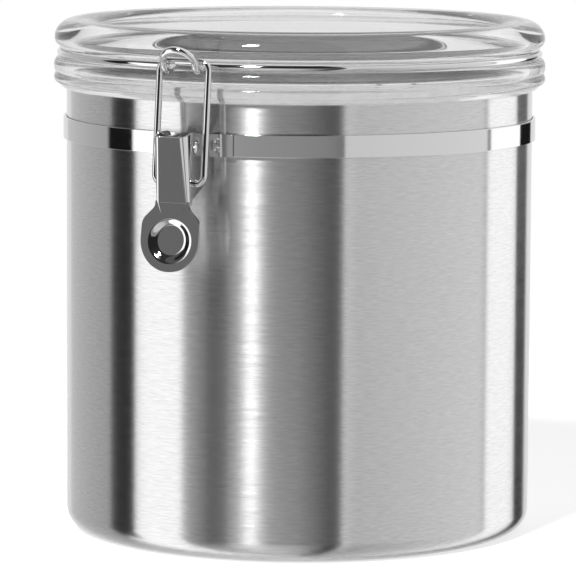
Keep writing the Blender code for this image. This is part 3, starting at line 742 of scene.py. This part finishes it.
def channel_section(z, face, bend):
    """U of sheet metal: round the outside, then back round the inside."""
    back = PIVOT_REACH - FLANGE_BACK - SHEET
    right = arc((LEVER_HALF - bend, face - bend), bend, bend, 0, 90)
    inner = arc((LEVER_HALF - bend, face - bend), bend - SHEET, bend - SHEET, 0, 90)
    outside = [(LEVER_HALF, back)] + right + [(-x, n) for x, n in right[::-1]]
    outside.append((-LEVER_HALF, back))
    inside = [(-LEVER_HALF + SHEET, back)] + [(-x, n) for x, n in inner]
    inside += inner[::-1] + [(LEVER_HALF - SHEET, back)]
    return [front(x, n, z) for x, n in outside + inside]


def flange_outline():
    back_bottom = BAIL_PIVOT_Z - PIVOT_Z - 1.5 * MM
    toe = FACE_WAIST[0] - 2.4 * MM
    foot = FACE_WAIST[1] - SHEET
    past = FACE_TOP[0] + SHEET
    path = [
        ((past, FACE_TOP[1] - SHEET * 0.3, 0.0), 0.0),
        ((2.2 * MM, FLANGE_TOP, 0.0), 2.9 * MM),
        ((-FLANGE_BACK, FLANGE_TOP, 0.0), 4.0 * MM),
        ((-FLANGE_BACK, back_bottom, 0.0), 0.9 * MM),
        ((toe, back_bottom - 4.2 * MM, 0.0), 2.9 * MM),
        ((toe, foot, 0.0), 0.0),
        ((past, foot, 0.0), 0.0),
    ]
    return [(p.x, p.y) for p in fillet(path, closed=True)]


def make_channel():
    top_z = PIVOT_Z + FLANGE_TOP + SHEET
    waist_z = PIVOT_Z + FACE_WAIST[1]
    foot_z = waist_z - 2 * SHEET
    slope = (FACE_TOP[0] - FACE_WAIST[0]) / (FACE_TOP[1] - FACE_WAIST[1])
    waist_face = PIVOT_REACH + FACE_WAIST[0]
    channel = loft("lever", [
        channel_section(foot_z, waist_face + TAB_KICK * (waist_z - foot_z), 1.2 * MM),
        channel_section(waist_z, waist_face, 1.2 * MM),
        channel_section(top_z, waist_face + slope * (top_z - waist_z), 2.65 * MM),
    ])
    trim = plate("lever_trim", flange_outline(), 2 * LEVER_HALF + SHEET,
                 side_frame(PIVOT_REACH, PIVOT_Z))
    return combine(channel, trim, "INTERSECT")


# %% The finger tab and its dish
TAB_RADIUS = 11.6 * MM
TAB_DROP = 13.1 * MM
TAB_KICK = 0.14
DISH_RIM = 8.6 * MM
DISH_FLOOR = 5.4 * MM
DISH_DEPTH = 1.15 * MM


def tab_frame():
    across = Vector((1.0, 0.0, 0.0))
    out = Vector((0.0, -1.0, TAB_KICK)).normalized()
    up = out.cross(across)
    waist = front(0.0, PIVOT_REACH + FACE_WAIST[0], PIVOT_Z + FACE_WAIST[1])
    axes = Matrix((across, up, out)).transposed().to_4x4()
    return Matrix.Translation(waist - up * TAB_DROP) @ axes


def tab_outline():
    top = TAB_DROP + SHEET * 0.6
    neck = TAB_DROP - 1.5 * MM
    shoulder = 11.5 * MM
    path = [
        ((LEVER_HALF, top, 0.0), 0.0),
        ((LEVER_HALF, neck, 0.0), 2.65 * MM),
        ((shoulder, neck - (shoulder - LEVER_HALF), 0.0), 5.0 * MM),
        ((TAB_RADIUS, 0.0, 0.0), 0.0),
    ]
    right = [(p.x, p.y) for p in fillet(path)]
    bottom = arc((0.0, 0.0), TAB_RADIUS, TAB_RADIUS, 0, -180, 5.0)
    return right + bottom[1:-1] + [(-x, y) for x, y in right[::-1]]


def dish_profile(top, shift, lip):
    """Section of the dish, from its floor out over its rounded lip."""
    path = [
        ((0.3 * MM, top - DISH_DEPTH, 0.0), 0.0),
        ((DISH_FLOOR + shift + 0.4 * MM, top - DISH_DEPTH, 0.0), 3.2 * MM),
        ((DISH_RIM + shift - 0.5 * MM, top, 0.0), lip),
        ((DISH_RIM + shift + 1.0 * MM, top, 0.0), 0.0),
    ]
    return [(p.x, p.y) for p in fillet(path, step=4.5)]


def edge_point(angle, outline):
    """Where a ray from the tab's centre leaves its outline."""
    centre = Vector((0.0, 0.0))
    ray = Vector((math.cos(angle), math.sin(angle))) * 4.0 * TAB_RADIUS
    for start, end in zip(outline, outline[1:] + outline[:1]):
        hit = intersect_line_line_2d(centre, ray, Vector(start), Vector(end))
        if hit is not None:
            return hit
    return ray


def make_tab(steps=144):
    """Dished tab as a stack of rings, so that no cut is needed.

    The dish's rim is a little flatter and lower than its round floor.
    """
    outline = tab_outline()
    turn = [2.0 * math.pi * (i + 0.5) / steps for i in range(steps)]
    turn += [math.atan2(y, x) % (2.0 * math.pi) for x, y in (outline[0], outline[-1])]
    turn.sort()
    face = dish_profile(0.0, 0.0, 3.2 * MM)
    back = dish_profile(-SHEET, 0.35 * SHEET, 3.2 * MM)
    edge = [edge_point(a, outline) for a in turn]

    def ring(radius, z):
        share = min(1.0, max(0.0, (radius - DISH_FLOOR) / (DISH_RIM - DISH_FLOOR)))
        tall = radius * (1.0 - 0.06 * share)
        low = (0.2 + 0.45 * share) * MM
        return [(radius * math.cos(a), tall * math.sin(a) - low, z) for a in turn]

    sections = [ring(r, z) for r, z in face]
    sections += [[(p.x, p.y, z) for p in edge] for z in (0.0, -SHEET)]
    sections += [ring(r, z) for r, z in back[::-1]]
    tab = loft("lever_tab", [[Vector(p) for p in section] for section in sections])
    tab.data.transform(tab_frame())
    return tab


def make_lever():
    lever = make_channel()
    combine(lever, make_tab(), "UNION")
    for label, hole, reach, z in (
        ("pin_hole", 1.4 * MM, PIVOT_REACH, PIVOT_Z),
        ("bail_hole", BAIL_RADIUS, BAIL_PIVOT_REACH, BAIL_PIVOT_Z),
    ):
        cutter = rod(label, hole + FIT_GAP, LEVER_HALF + SHEET, across_frame(front(0.0, reach, z)))
        combine(lever, cutter, "DIFFERENCE")
    return lever


lever = finish_metal(make_lever())
place(lever, "lever", polished_steel, "polished_steel", "latch_lever")

# %% [markdown]
# ## The pin
#
# A rivet holds the lever between the bracket's two ears. Its domed heads stand
# just outside the flanges.

# %% The pin
def pin_profile():
    head_start = LEVER_HALF + SEAT_GAP
    head = 1.0 * MM
    dome = arc((0.0, head_start), 2.0 * MM, head, 90, 0)
    upper = dome + [(1.4 * MM, head_start)]
    return upper + [(r, -z) for r, z in upper[::-1]]


pin = lathe("lever_rivet", pin_profile(), 48)
pin.data.transform(across_frame(front(0.0, PIVOT_REACH, PIVOT_Z)))
pin.data.set_sharp_from_angle(angle=math.radians(50))
place(pin, "can", polished_steel, "polished_steel", "lever_pin")

# %% [markdown]
# ## The latch bracket
#
# A curved plate is spot-welded to the band, and two ears stand out from it to
# carry the pin. The welds leave small round marks, so they are cut as shallow
# dimples in the plate.

# %% The latch bracket
WING_REACH = 16.3 * MM


def curved_plate(name, reach, facing):
    half_angle = math.degrees(math.asin(reach / PLATE_OUTER))
    middle = 90.0 * facing
    outline = arc((0, 0), PLATE_OUTER, PLATE_OUTER, middle - half_angle, middle + half_angle, 1.0)
    outline += arc((0, 0), PLATE_INNER, PLATE_INNER, middle + half_angle, middle - half_angle, 1.0)
    return plate(name, outline, BAND_WIDTH, Matrix.Translation((0.0, 0.0, BAND_MIDDLE)))


def ear_outline():
    root = PLATE_INNER + 0.4 * MM - PIVOT_REACH
    top = BAND_TOP - 0.2 * MM - PIVOT_Z
    bottom = BAND_BOTTOM + 0.2 * MM - PIVOT_Z
    nose = arc((0.0, 0.0), 3.6 * MM, 3.6 * MM, -100, 100)
    return [(root, bottom)] + nose + [(root, top)]


def weld_mark(side, level):
    offset = 10.7 * MM
    angle = math.asin(offset / PLATE_OUTER)
    mark = lathe("weld_mark", [
        (0.0, 0.8 * MM), (1.1 * MM, 0.8 * MM), (1.1 * MM, 0.0),
        (0.8 * MM, -0.25 * MM), (0.0, -0.25 * MM),
    ], 32)
    turn = Matrix.Rotation(side * angle, 4, "Z") @ Matrix.Rotation(math.pi / 2, 4, "X")
    spot = (side * offset, -PLATE_OUTER * math.cos(angle), BAND_MIDDLE + level * 3.0 * MM)
    mark.data.transform(Matrix.Translation(spot) @ turn)
    return mark


def make_latch_bracket():
    bracket = curved_plate("latch_mount", WING_REACH, -1)
    ear_thick = 1.0 * MM
    ear_x = LEVER_HALF - SHEET - FIT_GAP - ear_thick / 2
    for side in (-1, 1):
        ear = plate("ear", ear_outline(), ear_thick, side_frame(PIVOT_REACH, PIVOT_Z, side * ear_x))
        combine(bracket, ear, "UNION")
    hole = rod("ear_hole", 1.4 * MM + FIT_GAP, LEVER_HALF,
               across_frame(front(0.0, PIVOT_REACH, PIVOT_Z)))
    combine(bracket, hole, "DIFFERENCE")
    for side in (-1, 1):
        for level in (-0.5, 0.5):
            combine(bracket, weld_mark(side, level), "DIFFERENCE")
    return bracket


bracket = finish_metal(make_latch_bracket(), 0.1 * MM)
place(bracket, "can", polished_steel, "polished_steel", "latch_bracket")

# %% [markdown]
# ## The hinge bracket
#
# The back of the can isn't in the photograph, so this piece is a plain guess at
# the usual form: a plate on the band whose tongue is rolled round the lid's wire.

# %% The hinge bracket
KNUCKLE_INNER = WIRE_RADIUS + FIT_GAP
KNUCKLE_OUTER = KNUCKLE_INNER + 0.8 * MM
KNUCKLE_HALF = 5.5 * MM


def riser_outline():
    half = 0.4 * MM
    middle = PLATE_INNER + half
    bend = Vector((middle, BAND_TOP + 2.4 * MM))
    to_centre = Vector((HINGE_Y, HINGE_Z)) - bend
    radius = KNUCKLE_OUTER - half
    heading = math.atan2(to_centre.y, to_centre.x) + math.asin(radius / to_centre.length)
    length = math.sqrt(to_centre.length ** 2 - radius ** 2)
    along = Vector((math.cos(heading), math.sin(heading)))
    across = Vector((-along.y, along.x)) * half
    end = bend + along * length
    miter = half * math.tan((math.pi / 2 - heading) / 2)
    low = BAND_BOTTOM + 0.2 * MM
    return [
        (middle + half, low), (middle + half, bend.y - miter),
        (end.x - across.x, end.y - across.y), (end.x + across.x, end.y + across.y),
        (middle - half, bend.y + miter), (middle - half, low),
    ]


def make_hinge_bracket():
    hinge = curved_plate("hinge_mount", 12.5 * MM, 1)
    axes = Matrix(((0.0, 0.0, 1.0), (1.0, 0.0, 0.0), (0.0, 1.0, 0.0))).to_4x4()
    combine(hinge, plate("riser", riser_outline(), 2 * KNUCKLE_HALF, axes), "UNION")
    centre = across_frame(Vector((0.0, HINGE_Y, HINGE_Z)))
    combine(hinge, rod("knuckle", KNUCKLE_OUTER, KNUCKLE_HALF, centre), "UNION")
    combine(hinge, rod("bore", KNUCKLE_INNER, KNUCKLE_HALF + 1.0 * MM, centre), "DIFFERENCE")
    return hinge


hinge = finish_metal(make_hinge_bracket(), 0.1 * MM)
place(hinge, "can", polished_steel, "polished_steel", "hinge_bracket")

# %% [markdown]
# ## The studio
#
# Polished metal shows its surroundings, so the light is set as a ring of tall
# cards round the can: white ones give the bright bands and black ones the dark
# bands between them. The cards are a function of direction in the world, which
# is smooth and quick to sample, and the camera itself sees plain white.

# %% The ring of cards
CAMERA_SIDE = 25.8
# Degrees round from the camera, then the level on the near table, on the far
# table, on the walls and in the light boxes over them.
CARDS = [
    (-180, 0.85, 0.85, 0.85, 0.85, 0.80), (-155, 0.80, 0.80, 0.80, 0.80, 0.80),
    (-153, 0.62, 0.62, 0.62, 0.62, 0.60), (-106, 0.42, 0.42, 0.42, 0.42, 0.50),
    (-105, 1.40, 0.03, 0.01, 0.01, 0.02), (-88, 1.40, 0.03, 0.01, 0.01, 0.02),
    (-87, 1.40, 1.40, 1.40, 1.40, 0.10), (-60, 1.40, 1.40, 1.40, 1.40, 0.10),
    (-58, 0.24, 0.16, 0.85, 0.16, 0.03), (-52, 0.32, 0.16, 0.60, 0.16, 0.03),
    (-47, 0.38, 0.16, 0.35, 0.16, 0.03), (-44, 0.40, 0.16, 0.20, 0.02, 0.02),
    (-40, 0.44, 0.20, 0.17, 0.02, 0.02), (-35, 0.52, 0.46, 0.17, 0.02, 0.02),
    (-34, 0.58, 0.60, 0.36, 0.02, 0.02), (-17, 0.68, 0.80, 0.33, 0.02, 0.02),
    (0, 0.54, 0.62, 0.30, 0.02, 0.02), (12, 0.20, 0.20, 0.27, 0.02, 0.02),
    (16, 0.02, 0.02, 0.25, 0.02, 0.02), (21, 0.00, 0.00, 0.20, 0.00, 0.02),
    (22, 0.80, 0.80, 0.70, 0.95, 0.70), (29, 0.42, 0.42, 0.70, 0.70, 0.70),
    (103, 0.80, 0.80, 0.80, 0.80, 0.84), (105, 0.04, 0.04, 0.04, 0.04, 0.30),
    (107, 1.27, 1.27, 1.27, 1.27, 1.20), (135, 1.27, 1.27, 1.27, 1.27, 1.25),
    (136, 0.01, 0.01, 0.01, 0.60, 0.80), (153, 0.01, 0.01, 0.01, 0.60, 0.80),
    (155, 0.80, 0.80, 0.80, 0.80, 0.80), (180, 0.85, 0.85, 0.85, 0.85, 0.80),
]
# Sine of the elevation between which each row of cards gives way to the next.
CARD_STEPS = [(-0.55, -0.48), (-0.26, -0.22), (-0.05, 0.0), (0.22, 0.34)]


def card_ramp(tree, position, column):
    """One colour ramp over the whole circle, from the cards' levels."""
    ramp = tree.nodes.new("ShaderNodeValToRGB")
    stops = ramp.color_ramp.elements
    while len(stops) < len(CARDS):
        stops.new(1.0)
    for stop, card in zip(stops, CARDS):
        stop.position = (card[0] + 180.0) / 360.0
        level = card[column] / CARD_RANGE
        stop.color = (level, level, level, 1.0)
    tree.links.new(position, ramp.inputs["Fac"])
    return ramp.outputs["Color"]


CARD_RANGE = 1.6


def math_node(tree, operation, first, second=None):
    node = tree.nodes.new("ShaderNodeMath")
    node.operation = operation
    for socket, value in zip(node.inputs, (first, second)):
        if value is None:
            continue
        if isinstance(value, (int, float)):
            socket.default_value = value
        else:
            tree.links.new(value, socket)
    return node.outputs["Value"]


def smooth_between(tree, value, low, high):
    node = tree.nodes.new("ShaderNodeMapRange")
    node.interpolation_type = "SMOOTHSTEP"
    node.inputs["From Min"].default_value = low
    node.inputs["From Max"].default_value = high
    tree.links.new(value, node.inputs["Value"])
    return node.outputs["Result"]


def make_world():
    world = bpy.data.worlds.new("studio")
    bpy.context.scene.world = world
    world.use_nodes = True
    tree = world.node_tree
    tree.nodes.clear()
    place_node = tree.nodes.new("ShaderNodeTexCoord")
    split = tree.nodes.new("ShaderNodeSeparateXYZ")
    tree.links.new(place_node.outputs["Generated"], split.inputs["Vector"])
    x, y, z = (split.outputs[axis] for axis in "XYZ")
    turn = math_node(tree, "ARCTAN2", y, x)
    from_camera = math_node(tree, "ADD", turn, math.radians(90.0 - CAMERA_SIDE))
    wrapped = math_node(tree, "WRAP", from_camera, math.pi)
    wrapped.node.inputs[2].default_value = -math.pi
    position = math_node(tree, "MULTIPLY_ADD", wrapped, 1.0 / (2.0 * math.pi))
    position.node.inputs[2].default_value = 0.5
    ring = card_ramp(tree, position, 1)
    for row, (start, end) in enumerate(CARD_STEPS):
        blend = tree.nodes.new("ShaderNodeMix")
        blend.data_type = "RGBA"
        tree.links.new(smooth_between(tree, z, start, end), blend.inputs["Factor"])
        tree.links.new(ring, blend.inputs["A"])
        tree.links.new(card_ramp(tree, position, row + 2), blend.inputs["B"])
        ring = blend.outputs["Result"]
    roof = tree.nodes.new("ShaderNodeMix")
    roof.data_type = "RGBA"
    roof.inputs["B"].default_value = (ROOF_LEVEL / CARD_RANGE,) * 3 + (1.0,)
    tree.links.new(smooth_between(tree, z, 0.93, 0.985), roof.inputs["Factor"])
    tree.links.new(ring, roof.inputs["A"])
    left, right = (math.radians(angle) for angle in STRIP_SIDES)
    beside = math_node(tree, "MULTIPLY", smooth_between(tree, wrapped, left, left + 0.06),
                       math_node(tree, "SUBTRACT", 1.0,
                                 smooth_between(tree, wrapped, right - 0.10, right)))
    above = smooth_between(tree, z, 0.60, 0.64)
    under = math_node(tree, "SUBTRACT", 1.0, smooth_between(tree, z, 0.70, 0.74))
    strip = math_node(tree, "MULTIPLY", math_node(tree, "MULTIPLY", beside, above), under)
    cards = tree.nodes.new("ShaderNodeBackground")
    cards.inputs["Strength"].default_value = CARD_RANGE
    tree.links.new(roof.outputs["Result"], cards.inputs["Color"])
    lamp = tree.nodes.new("ShaderNodeBackground")
    tree.links.new(math_node(tree, "MULTIPLY", strip, STRIP_LEVEL), lamp.inputs["Strength"])
    lit = tree.nodes.new("ShaderNodeAddShader")
    tree.links.new(cards.outputs["Background"], lit.inputs[0])
    tree.links.new(lamp.outputs["Background"], lit.inputs[1])
    white = tree.nodes.new("ShaderNodeBackground")
    path = tree.nodes.new("ShaderNodeLightPath")
    choose = tree.nodes.new("ShaderNodeMixShader")
    plain = math_node(tree, "MAXIMUM", path.outputs["Is Camera Ray"],
                      path.outputs["Is Transmission Ray"])
    tree.links.new(plain, choose.inputs["Fac"])
    tree.links.new(lit.outputs["Shader"], choose.inputs[1])
    tree.links.new(white.outputs["Background"], choose.inputs[2])
    output = tree.nodes.new("ShaderNodeOutputWorld")
    tree.links.new(choose.outputs["Shader"], output.inputs["Surface"])
    white.inputs["Color"].default_value = (1.0, 1.0, 1.0, 1.0)
    return world


ROOF_LEVEL = 0.9
STRIP_SIDES = (-31.0, -21.5)
STRIP_LEVEL = 420.0
make_world()

# %% [markdown]
# ## The table
#
# The can stands on a white table that fades into the white background. Its
# colour is a little under white and the camera alone sees it lifted to white, so
# the soft shadow at the can's foot stays.

# %% The table
def make_table():
    table = lathe("table", [(0.0, 0.0), (0.2, 0.0), (0.45, 0.0), (0.7, 0.0)], 96, closed=False)
    table.location.z = -0.05 * MM
    table.visible_glossy = False
    material = bpy.data.materials.new("white_table")
    material.use_nodes = True
    tree = material.node_tree
    tree.nodes.clear()
    surface = tree.nodes.new("ShaderNodeBsdfDiffuse")
    surface.inputs["Color"].default_value = (0.5, 0.5, 0.5, 1.0)
    glow = tree.nodes.new("ShaderNodeEmission")
    path = tree.nodes.new("ShaderNodeLightPath")
    tree.links.new(math_node(tree, "MULTIPLY", path.outputs["Is Camera Ray"], 0.62),
                   glow.inputs["Strength"])
    both = tree.nodes.new("ShaderNodeAddShader")
    tree.links.new(surface.outputs["BSDF"], both.inputs[0])
    tree.links.new(glow.outputs["Emission"], both.inputs[1])
    where = tree.nodes.new("ShaderNodeTexCoord")
    length = tree.nodes.new("ShaderNodeVectorMath")
    length.operation = "LENGTH"
    tree.links.new(where.outputs["Object"], length.inputs[0])
    fade = smooth_between(tree, length.outputs["Value"], 0.25, 0.6)
    clear = tree.nodes.new("ShaderNodeBsdfTransparent")
    mix = tree.nodes.new("ShaderNodeMixShader")
    tree.links.new(fade, mix.inputs["Fac"])
    tree.links.new(both.outputs["Shader"], mix.inputs[1])
    tree.links.new(clear.outputs["BSDF"], mix.inputs[2])
    output = tree.nodes.new("ShaderNodeOutputMaterial")
    tree.links.new(mix.outputs["Shader"], output.inputs["Surface"])
    table.data.materials.append(material)
    return table


make_table()

# %% [markdown]
# ## The camera
#
# A long lens from about a metre and a half keeps the can's sides nearly
# parallel. It looks down by seven degrees, from a quarter-turn short of the
# clamp, and a small sideways shift sets the can where the photograph has it.

# %% The camera
def make_camera():
    data = bpy.data.cameras.new("lens")
    data.sensor_width = 36.0
    data.lens = 4189.7 / 576.0 * 36.0
    data.shift_x = -(298.46 - 288.0) / 576.0
    data.clip_start = 0.05
    data.clip_end = 20.0
    camera = new_object("camera", data)
    distance, height = 1.5724, 0.2838
    side = math.radians(CAMERA_SIDE)
    camera.location = (distance * math.sin(side), -distance * math.cos(side), height)
    pitch, roll = 0.1228, 0.0057
    look = Matrix.Rotation(side, 4, "Z") @ Matrix.Rotation(math.pi / 2 - pitch, 4, "X")
    camera.rotation_euler = (look @ Matrix.Rotation(roll, 4, "Z")).to_euler()
    bpy.context.scene.camera = camera
    return camera


camera = make_camera()
bpy.context.scene.view_settings.view_transform = "Standard"
print("camera at", [round(value, 3) for value in camera.location])
